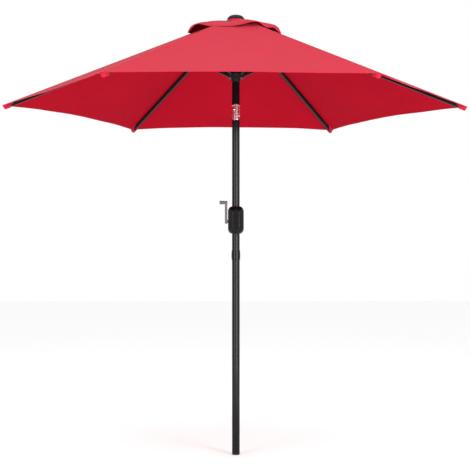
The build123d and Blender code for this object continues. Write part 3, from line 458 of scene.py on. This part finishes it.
# Distance from the seam for each metre along the chord between two ribs.
ACROSS = math.cos(math.atan2(TIP_R * math.sin(HALF_PANEL), TIP_R * PER_R))
STITCH_LINE = 0.0032
HEM_LINE = 0.0064
hem_steps = np.array([0.0, 0.0012, 0.0050, HEM_LINE, 0.0078, 0.0125, 0.0142, 0.0170])
inner_steps = np.array([0.0, 0.002, 0.010, 0.012])
seam_steps = np.array([0.0, 0.0018, STITCH_LINE, 0.0046, 0.0056, 0.0080])


def half_panel_grid(side):
    """R and u for every point of a half panel, rows from the hem inwards, columns from the rib out."""
    field = np.linspace(0, 1, 32)[1:-1]
    middle = np.linspace(0, 1, 15)[1:]
    rows_r, rows_u = [], []
    row_count = len(hem_steps) + len(field) + len(inner_steps)
    for row in range(row_count):
        line_r, line_u = [], []
        for column in range(len(seam_steps) + len(middle)):
            r = TIP_R if row < 20 else INNER_R + 0.3
            for _ in range(3):
                reach = r * math.sin(HALF_PANEL)
                near = seam_steps[min(column, len(seam_steps) - 1)] / ACROSS / reach
                last = seam_steps[-1] / ACROSS / reach
                w = near
                if column >= len(seam_steps):
                    w = last + (1 - last) * middle[column - len(seam_steps)]
                edge = hem_r(1 - w)
                outer = edge - hem_steps[-1] / PER_R
                inner = INNER_R + inner_steps[-1]
                if row < len(hem_steps):
                    r = edge - hem_steps[row] / PER_R
                elif row < len(hem_steps) + len(field):
                    r = outer + (inner - outer) * field[row - len(hem_steps)]
                else:
                    r = INNER_R + inner_steps[::-1][row - len(hem_steps) - len(field)]
            line_r.append(r)
            line_u.append(w)
        rows_r.append(line_r)
        rows_u.append(line_u)
    r, w = np.array(rows_r), np.array(rows_u)
    return r, w, -side * (1 - w)


# %% Seam, hem and stitch relief
def bell(distance, centre, width):
    """A smooth bump of height one."""
    return np.exp(-(((distance - centre) / width) ** 2))


def plateau(distance, end, soft=0.0008):
    """One up to end, then falling smoothly to nought."""
    return 1 / (1 + np.exp(np.clip((distance - end) / (soft / 4), -40, 40)))


def upper_relief(seam, hem, vent):
    """Raised seam and folded edges on the upper face, with grooves under the stitches."""
    rise = 0.0007 * plateau(seam, SEAM_WIDTH) - 0.0005 * bell(seam, STITCH_LINE, 0.0009)
    rise -= 0.0005 * bell(hem, HEM_LINE, 0.0010)
    rise -= 0.0003 * bell(hem, HEM_WIDTH, 0.0015)
    return rise - 0.0003 * bell(vent, 0.010, 0.002)


def lower_relief(seam, hem, vent):
    """Depth of the lower face: the turned hem doubles the cloth."""
    depth = CLOTH + 0.0009 * plateau(hem, HEM_WIDTH) - 0.0005 * bell(hem, HEM_LINE, 0.0010)
    depth += 0.0006 * plateau(seam, SEAM_WIDTH * 1.4) + 0.0007 * plateau(vent, 0.011)
    return -depth


# %% Sheets from a surface
def closed_sheet(name, point_at, r, u, upper, lower, outward):
    """A thin closed sheet between two reliefs over a surface, with exact normals on both faces."""
    rows, columns = r.shape
    normal = surface_normal(point_at, r, u)
    if np.mean(np.sum(normal * outward, axis=-1)) < 0:
        normal = -normal
    base = point_at(r, u)
    top = base + normal * upper[..., None]
    bottom = base + normal * lower[..., None]
    count = rows * columns
    points = [top.reshape(-1, 3), bottom.reshape(-1, 3)]
    normals = [normal.reshape(-1, 3), -normal.reshape(-1, 3)]
    q, c = rows // 2, columns // 2
    turn = np.cross(base[q, c + 1] - base[q, c], base[q + 1, c] - base[q, c]) @ normal[q, c]
    faces = grid_faces(rows, columns, 0, turn < 0) + grid_faces(rows, columns, count, turn > 0)
    kinds = [0] * ((rows - 1) * (columns - 1)) + [1] * ((rows - 1) * (columns - 1))
    ring = [(0, c) for c in range(columns)] + [(q, columns - 1) for q in range(1, rows)]
    ring += [(rows - 1, c) for c in range(columns - 2, -1, -1)] + [(q, 0) for q in range(rows - 2, 0, -1)]
    centre = base.reshape(-1, 3).mean(0)
    first = 2 * count
    edge_points, edge_normals = [], []
    for q, c in ring:
        edge_points += [top[q, c], bottom[q, c]]
        away = base[q, c] - centre
        away -= normal[q, c] * (away @ normal[q, c])
        edge_normals += [away / np.linalg.norm(away)] * 2
    for k in range(len(ring)):
        a, b = first + 2 * k, first + 2 * ((k + 1) % len(ring))
        quad = (a, a + 1, b + 1, b)
        faces.append(quad if turn > 0 else quad[::-1])
        kinds.append(0)
    points.append(np.array(edge_points))
    normals.append(np.array(edge_normals))
    flat = np.stack([(r * u * math.sin(HALF_PANEL)).ravel(), (r * PER_R).ravel()], axis=1)
    edge_uv = np.repeat(np.array([flat[q * columns + c] for q, c in ring]), 2, axis=0)
    uvs = np.concatenate([flat, flat, edge_uv])
    # The lower face takes the inner cloth with its painted shade.
    slots = [cloth_outer, cloth_inner_painted_shade]
    return build_piece(name, np.concatenate(points), faces, np.concatenate(normals), uvs, slots, kinds)


# %% Cut the twelve half panels
def hem_distance(r, u):
    """Distance from the hem, measured down the panel."""
    return (hem_r(u) - r) * PER_R


UP = np.array([0.0, 0.0, 1.0])
half_panels = {}
for rib, side in HALVES:
    panel = panel_of(rib, side)
    r, w, u = half_panel_grid(side)
    seam = w * r * math.sin(HALF_PANEL) * ACROSS
    hem, vent = hem_distance(r, u), (r - INNER_R) * PER_R
    piece = closed_sheet(
        f"canopy_{rib}_{SIDE_NAME[side]}",
        lambda rr, uu, panel=panel: cloth_point(panel, rr, uu),
        r,
        u,
        upper_relief(seam, hem, vent),
        lower_relief(seam, hem, vent),
        UP,
    )
    half_panels[rib, side] = piece
    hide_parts(f"canopy_section_{rib}")
print("half panels:", len(half_panels), "each", r.shape, "points a face")

# %% [markdown]
# ## Thread
# A stitch is a short, slightly arched capsule of thread that dips into the cloth at both ends. One
# function lays a row of them along any line on the surface, with the real pitch of a few millimetres.

# %% Lay stitches along a line
STITCH_PITCH = 0.0042
STITCH_LENGTH = 0.0031
THREAD_R = 0.00032
STITCH_SIDES = 5


def stitch_row(path, normals, store):
    """Add a row of stitches that follows the path to the lists of points and faces."""
    steps = np.linalg.norm(np.diff(path, axis=0), axis=1)
    run = np.concatenate([[0], np.cumsum(steps)])
    starts = np.arange(STITCH_PITCH, run[-1] - STITCH_PITCH, STITCH_PITCH)
    sites = [starts, starts + STITCH_LENGTH]
    spots = [np.stack([np.interp(site, run, path[:, k]) for k in range(3)], 1) for site in sites]
    ups = np.stack([np.interp(starts, run, normals[:, k]) for k in range(3)], 1)
    points, faces = store
    for start, end, up in zip(*spots, ups):
        along = (end - start) / np.linalg.norm(end - start)
        side = np.cross(up, along)
        first = len(points)
        for share, radius, lift in ((0, 0.55, -0.35), (0.25, 1, 0.45), (0.75, 1, 0.45), (1, 0.55, -0.35)):
            middle = start + (end - start) * share + up * lift * THREAD_R
            for k in range(STITCH_SIDES):
                angle = 2 * math.pi * k / STITCH_SIDES
                spoke = math.cos(angle) * side + math.sin(angle) * up
                points.append(middle + THREAD_R * radius * spoke)
        for ring in range(3):
            for k in range(STITCH_SIDES):
                a = first + ring * STITCH_SIDES + k
                b = first + ring * STITCH_SIDES + (k + 1) % STITCH_SIDES
                faces.append((a, b, b + STITCH_SIDES, a + STITCH_SIDES))
        faces.append(tuple(first + k for k in reversed(range(STITCH_SIDES))))
        faces.append(tuple(first + 3 * STITCH_SIDES + k for k in range(STITCH_SIDES)))


# %% Sew the seams and hems
def line_on_panel(panel, r, u, rise):
    """Path and normals of a line on the cloth, rise above its upper face."""
    base = cloth_point(panel, r, u)
    normal = surface_normal(lambda rr, uu: cloth_point(panel, rr, uu), r, u)
    if normal[0] @ UP < 0:
        normal = -normal
    return base + normal * rise, normal


thread_count = 0
half_threads = {}
for rib, side in HALVES:
    panel = panel_of(rib, side)
    store = ([], [])
    seam_r = np.linspace(INNER_R + 0.004, TIP_R - 0.012, 220)
    seam_u = -side * (1 - STITCH_LINE / ACROSS / (seam_r * math.sin(HALF_PANEL)))
    path, normal = line_on_panel(panel, seam_r, seam_u, 0.0003)
    stitch_row(path, normal, store)
    hem_u = -side * np.linspace(0.985, 0.0, 120)
    path, normal = line_on_panel(panel, hem_r(hem_u) - HEM_LINE / PER_R, hem_u, -0.0004)
    stitch_row(path, normal, store)
    path, normal = line_on_panel(panel, hem_r(hem_u) - HEM_LINE / PER_R, hem_u, -CLOTH - 0.0005)
    stitch_row(path, -normal, store)
    thread = build_piece(f"thread_{rib}_{SIDE_NAME[side]}", store[0], store[1], slots=[thread_red])
    half_threads[rib, side] = thread
    thread_count += len(store[1]) // (3 * STITCH_SIDES + 2)
print("stitches:", thread_count)

half_area = 0.5 * TIP_R * math.sin(HALF_PANEL) * TIP_R * PER_R
half_area -= 0.5 * INNER_R**2 * math.sin(HALF_PANEL) * PER_R
half_area -= HEM_RISE * TIP_R * math.sin(HALF_PANEL) * 2 / 3
half_area += HEM_WIDTH * TIP_R * math.sin(HALF_PANEL) * 0.5
for rib, side in HALVES:
    fold_with_rib(half_panels[rib, side], rib, side)
    fold_with_rib(half_threads[rib, side], rib, side)

# %% [markdown]
# ## Rib pockets
# The end of every rib slips into a sewn pocket under the corner of the cover. The pocket is a short
# sleeve with a slanted mouth: long where it is stitched to the cover, short underneath, with its own
# turned edge.

# %% A rib's own axes
rib_direction = {}
for i in rib_numbers:
    out = radial(rib_azimuth[i])
    slope_length = math.hypot(1, SLOPE)
    along = (out - UP * SLOPE) / slope_length
    up = (out * SLOPE + UP) / slope_length
    rib_direction[i] = (along, np.cross(up, along), up)
ridge_end = np.array([TIP_R, 0, ridge_low.z]) - np.array(rib_pin[1])
RIDGE_LIFT = float(ridge_end @ rib_direction[1][2])
TIP_REACH = float(ridge_end @ rib_direction[1][0])
print("ridge above rib", round(RIDGE_LIFT, 4), "tip reach", round(TIP_REACH, 4))


def at_rib(rib, reach, across, up):
    """A point given along, across and above a rib's centreline from its pin."""
    a, t, n = rib_direction[rib]
    return np.array(rib_pin[rib]) + a * reach + t * across + n * up


# %% Sew the pockets
POCKET_LONG = 0.078
POCKET_SHORT = 0.034
POCKET_CLOTH = 0.0013
POCKET_GAP = 0.0006
# How steeply the panels fall away from the ridge.
DROP_AWAY = 0.209
# Half of the sleeve's outline as (across, up); the first points follow the cover instead of a height.
profile = [(0.0165, None), (0.0120, None), (0.0105, 0.0060), (0.0104, 0.0000), (0.0098, -0.0060)]
profile += [(0.0074, -0.0098), (0.0038, -0.0112)]
profile = profile + [(0.0, -0.0115)] + [(-y, z) for y, z in profile[::-1]]


def pocket_points(rib):
    """Rows of pocket points from the mouth to the closed end."""
    rows = []
    stations = np.concatenate([np.linspace(0, 0.80, 12), np.linspace(0.84, 1.0, 7)])
    for share in stations:
        row = []
        for k, (y, z) in enumerate(profile):
            height = RIDGE_LIFT - CLOTH - POCKET_GAP - DROP_AWAY * abs(y) if z is None else z
            low = min(1.0, max(0.0, (0.011 - height) / 0.020))
            start = TIP_REACH - POCKET_LONG + (POCKET_LONG - POCKET_SHORT) * low**0.8
            end = TIP_REACH - 0.0015
            reach = start + (end - start) * share
            close = max(0.0, (share - 0.80) / 0.20)
            shrink = math.sqrt(max(0.0, 1 - close**2))
            if z is not None:
                ripple = 0.0005 * math.sin(reach * 420 + k * 1.3 + rib)
                y_now = y * (0.45 + 0.55 * shrink) + ripple
                z_now = 0.0085 + (height - 0.0085) * shrink
            else:
                y_now = y * (0.55 + 0.45 * shrink)
                z_now = RIDGE_LIFT - CLOTH - POCKET_GAP - DROP_AWAY * abs(y_now)
            row.append(at_rib(rib, reach, y_now, z_now))
        rows.append(row)
    return np.array(rows)


for rib in rib_numbers:
    sleeve = pocket_points(rib)
    rows, columns = sleeve.shape[:2]
    uvs = [(0.004 * c, 0.004 * q) for q in range(rows) for c in range(columns)]
    faces = grid_faces(rows, columns)
    pocket = build_piece(f"pocket_{rib}", sleeve.reshape(-1, 3), faces, uvs=uvs, slots=[cloth_outer])
    shell = pocket.modifiers.new("cloth thickness", "SOLIDIFY")
    shell.thickness = POCKET_CLOTH
    shell.offset = 0.0
    smooth = pocket.modifiers.new("soft folds", "SUBSURF")
    smooth.levels = smooth.render_levels = 1
    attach(pocket, rib_body[rib])
print("pockets:", RIBS)

# %% [markdown]
# ## The vent cap
# A small second cover sits over the hole in the middle, so that wind can pass between the two. Its edge
# is loose: it billows up in places and lies on the big canopy in others. The lift of its edge is given
# for a ring of azimuths, and a smooth periodic curve joins them up.

# %% The edge of the vent cap
# Pairs of azimuth in degrees and lift in millimetres; a curl is azimuth, depth and width.
VENT_FULLNESS = 0.010
VENT_SHIFT = 0.007
VENT_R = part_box("vent_cap")[1].x + VENT_FULLNESS
HUB_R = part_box("hub_cap")[1].x
HUB_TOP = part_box("hub_cap")[1].z
vent_lift = [(0, 38), (12, 28), (30, 10), (48, 10), (64, 24), (80, 13), (100, 6), (118, 20)]
vent_lift += [(134, 12), (150, 12), (165, 30), (177, 42), (186, 44), (200, 39), (214, 28)]
vent_lift += [(228, 12), (238, 3), (250, 0), (263, 1), (272, 4), (280, 9), (287, 18), (293, 27)]
vent_lift += [(299, 24), (306, 14), (315, 10), (326, 10), (336, 22), (347, 36)]
corner_curl = [(178, 34, 15), (357, 32, 14)]
lift_angle = np.radians([a for a, _ in vent_lift])
lift_height = np.array([h for _, h in vent_lift]) / 1000


def edge_lift(azimuth):
    """Height of the vent's edge above the canopy, smoothed over a few degrees."""
    full_turn = 2 * math.pi
    total = np.zeros_like(azimuth)
    for offset in np.radians([-6, -3, 0, 3, 6]):
        total += np.interp((azimuth + offset) % full_turn, lift_angle, lift_height, period=full_turn)
    return total / 5


def edge_curl(azimuth):
    """How far the outer edge curls down: a little everywhere, and a lot at two loose corners."""
    curl = np.full_like(azimuth, 0.004)
    for centre, depth, width in corner_curl:
        away = (np.degrees(azimuth) - centre + 180) % 360 - 180
        curl += depth / 1000 * np.exp(-((away / width) ** 2))
    return curl


def vent_point(panel, r, u):
    """A point of the vent cap, where u runs from -1 to 1 across the panel."""
    out, across, _ = panel_axes(panel)
    r, u = np.broadcast_arrays(np.asarray(r, float), np.asarray(u, float))
    flat = np.multiply.outer(r * math.cos(HALF_PANEL), out)
    flat = flat + np.multiply.outer(r * u * math.sin(HALF_PANEL), across)
    azimuth = np.arctan2(flat[..., 1], flat[..., 0])
    inner_z = HUB_TOP - 0.0062 + 0.0040 * np.cos(azimuth)
    edge_z = APEX_Z - SLOPE * VENT_R + 0.0030 + edge_lift(azimuth)
    share = np.clip((r - HUB_R) / (VENT_R - HUB_R), 0, 1.1)
    z = inner_z + (edge_z - inner_z) * share
    z += 0.0070 * np.sin(math.pi * np.clip(share, 0, 1)) * (1 - u**2)
    z += 0.0022 * np.sin(math.pi * np.clip(share, 0, 1)) * np.sin(5 * azimuth + 1.0) * (1 - u**4)
    turned = np.clip((share - 0.86) / 0.14, 0, 1.2)
    z -= edge_curl(azimuth) * turned**2
    flat[..., 0] -= VENT_SHIFT * share**2
    flat[..., 2] = z
    return flat


# %% Cut the vent's half panels
VENT_ARC = 0.012
VENT_LINE = 0.0062
vent_count = 0
for rib, side in HALVES:
    panel = panel_of(rib, side)
    share = np.linspace(0, 1, 16)
    steps = np.array([0, 0.0012, 0.0050, VENT_LINE, 0.0075, 0.0118, 0.0130])
    inner_r = HUB_R + 0.0035
    columns = np.concatenate([[0, 0.02, 0.035, 0.05], np.linspace(0.09, 1, 13)])
    edge = VENT_R * (1 - VENT_ARC * (1 - (1 - columns) ** 2))
    hem_rows = edge[None, :] - steps[:, None] / PER_R
    field = (VENT_R - steps[-1] / PER_R) + (inner_r - VENT_R + steps[-1] / PER_R) * share[1:]
    field_rows = np.repeat(field[:, None], len(columns), axis=1)
    field_rows += (hem_rows[-1] - hem_rows[-1][0])[None, :] * (1 - share[1:, None])
    r = np.concatenate([hem_rows, field_rows])
    w = np.repeat(columns[None, :], len(r), axis=0)
    u = -side * (1 - w)
    seam = w * r * math.sin(HALF_PANEL) * ACROSS
    hem = (edge[None, :] - r) * PER_R
    far = np.full_like(r, 1.0)
    vent = closed_sheet(
        f"vent_{rib}_{SIDE_NAME[side]}",
        lambda rr, uu, panel=panel: vent_point(panel, rr, uu),
        r,
        u,
        upper_relief(seam, hem, far),
        lower_relief(seam, hem, far),
        UP,
    )
    vent_count += 1
    store = ([], [])
    u_line = -side * np.linspace(0.97, 0.0, 40)
    r_line = VENT_R * (1 - VENT_ARC * (1 - np.abs(u_line) ** 2)) - VENT_LINE / PER_R
    path = vent_point(panel, r_line, u_line)
    normal = surface_normal(lambda rr, uu, panel=panel: vent_point(panel, rr, uu), r_line, u_line)
    normal = normal if normal[0] @ UP > 0 else -normal
    stitch_row(path - normal * 0.0004, normal, store)
    thread_name = f"vent_thread_{rib}_{SIDE_NAME[side]}"
    thread = build_piece(thread_name, store[0], store[1], slots=[thread_red])
    fold_with_rib(vent, rib, side)
    fold_with_rib(thread, rib, side)
print("vent halves:", vent_count)

# %% [markdown]
# Where the vent cap is clamped under the finial, its spare cloth gathers into small radial puckers. This
# ring stays with the pole's head, and the vent's half panels hang from under it.

# %% The gathered collar under the finial
ring_r = np.array([0.012, 0.020, 0.030, 0.038, HUB_R, 0.0436, 0.0455, 0.0475, 0.0495, 0.0515, 0.0535])
ring_z = np.array([0, 0, 0, 0, 0, -0.0010, -0.0028, -0.0055, -0.0085, -0.0115, -0.0145])
pucker = np.array([0, 0, 0, 0, 0, 0.0002, 0.0012, 0.0016, 0.0016, 0.0012, 0.0008])
turns = np.linspace(0, 2 * math.pi, 192, endpoint=False)
collar_points = []
for r, z, depth in zip(ring_r, ring_z, pucker):
    wave = np.sin(17 * turns) + 0.6 * np.sin(29 * turns + 1.2)
    drop = 1.0 if z < -0.001 else 0.0
    height = HUB_TOP + 0.0009 + z + depth * wave * 0.6 + drop * 0.0032 * np.cos(turns)
    radius = r + 0.0004 * depth / 0.0016 * np.sin(23 * turns)
    collar_points += list(zip(radius * np.cos(turns), radius * np.sin(turns), height))
faces = []
for q in range(len(ring_r) - 1):
    for c in range(len(turns)):
        a, b = q * len(turns) + c, q * len(turns) + (c + 1) % len(turns)
        faces.append((a, a + len(turns), b + len(turns), b))
uvs = [(p[0], p[1]) for p in collar_points]
collar = build_piece("vent_collar", collar_points, faces, uvs=uvs, slots=[cloth_outer])
collar_shell = collar.modifiers.new("cloth thickness", "SOLIDIFY")
collar_shell.thickness = 0.0007
collar_shell.offset = -1.0
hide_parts("vent_cap")
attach(collar, "head")
print("collar gathers:", len(collar_points), "points")

# %% [markdown]
# ## Stage, light and camera
# A plain pale floor and a white surround give the even light of a catalogue studio. Two tall soft boxes
# put the long highlights on the pole, and a wide one overhead brightens the top of the canopy.

# %% Floor and surround
floor_mesh = bpy.data.meshes.new("floor")
FLOOR_HALF = 30.0
FLOOR_Z = -0.0005
corners = [(x * FLOOR_HALF, y * FLOOR_HALF, FLOOR_Z) for x, y in ((-1, -1), (1, -1), (1, 1), (-1, 1))]
floor_mesh.from_pydata(corners, [], [(0, 1, 2, 3)])
floor = bpy.data.objects.new("floor", floor_mesh)
scene.collection.objects.link(floor)
floor_paint, _, _ = new_material("pale floor", (0.95, 0.95, 0.95), 0.85)
floor_mesh.materials.append(floor_paint)
world = bpy.data.worlds.new("white surround")
world.use_nodes = True
world.node_tree.nodes["Background"].inputs["Color"].default_value = (1, 1, 1, 1)
world.node_tree.nodes["Background"].inputs["Strength"].default_value = 1.0
scene.world = world


# %% Soft boxes
def soft_box(name, place, target, size, power):
    """A rectangular area light that points at a place."""
    light = bpy.data.lights.new(name, "AREA")
    light.shape = "RECTANGLE"
    light.size, light.size_y = size
    light.energy = power
    lamp = bpy.data.objects.new(name, light)
    lamp.location = place
    lamp.rotation_euler = (Vector(target) - Vector(place)).to_track_quat("-Z", "Y").to_euler()
    scene.collection.objects.link(lamp)


MIDDLE = (0, 0, 1.1)
soft_box("overhead", (0.0, -1.5, 5.5), (0, 0, 2.0), (5.0, 4.0), 66)
soft_box("left panel", (-2.6, -4.3, 1.3), MIDDLE, (1.5, 3.4), 130)
soft_box("right panel", (2.5, -4.3, 1.3), MIDDLE, (1.6, 3.4), 235)

# %% [markdown]
# The camera stands about six metres away at chest height with a long lens, so the pole stays straight
# and the canopy is seen slightly from below. It is turned about a degree round the umbrella.

# %% Camera
CAMERA_TURN = math.radians(-1.26)
CAMERA_DISTANCE = 5.882
CAMERA_HEIGHT = 0.894
CAMERA_PITCH = math.radians(1.73)
CAMERA_ASIDE = -0.0042
CAMERA_LENS = 91.84
camera_data = bpy.data.cameras.new("camera")
camera_data.lens = CAMERA_LENS
camera_data.sensor_width = 36.0
camera = bpy.data.objects.new("camera", camera_data)
turn_cos, turn_sin = math.cos(CAMERA_TURN), math.sin(CAMERA_TURN)
camera.location = (
    CAMERA_ASIDE * turn_cos + CAMERA_DISTANCE * turn_sin,
    CAMERA_ASIDE * turn_sin - CAMERA_DISTANCE * turn_cos,
    CAMERA_HEIGHT,
)
camera.rotation_euler = (math.radians(90) + CAMERA_PITCH, 0, CAMERA_TURN)
scene.collection.objects.link(camera)
scene.camera = camera
print("camera at", [round(v, 3) for v in camera.location])
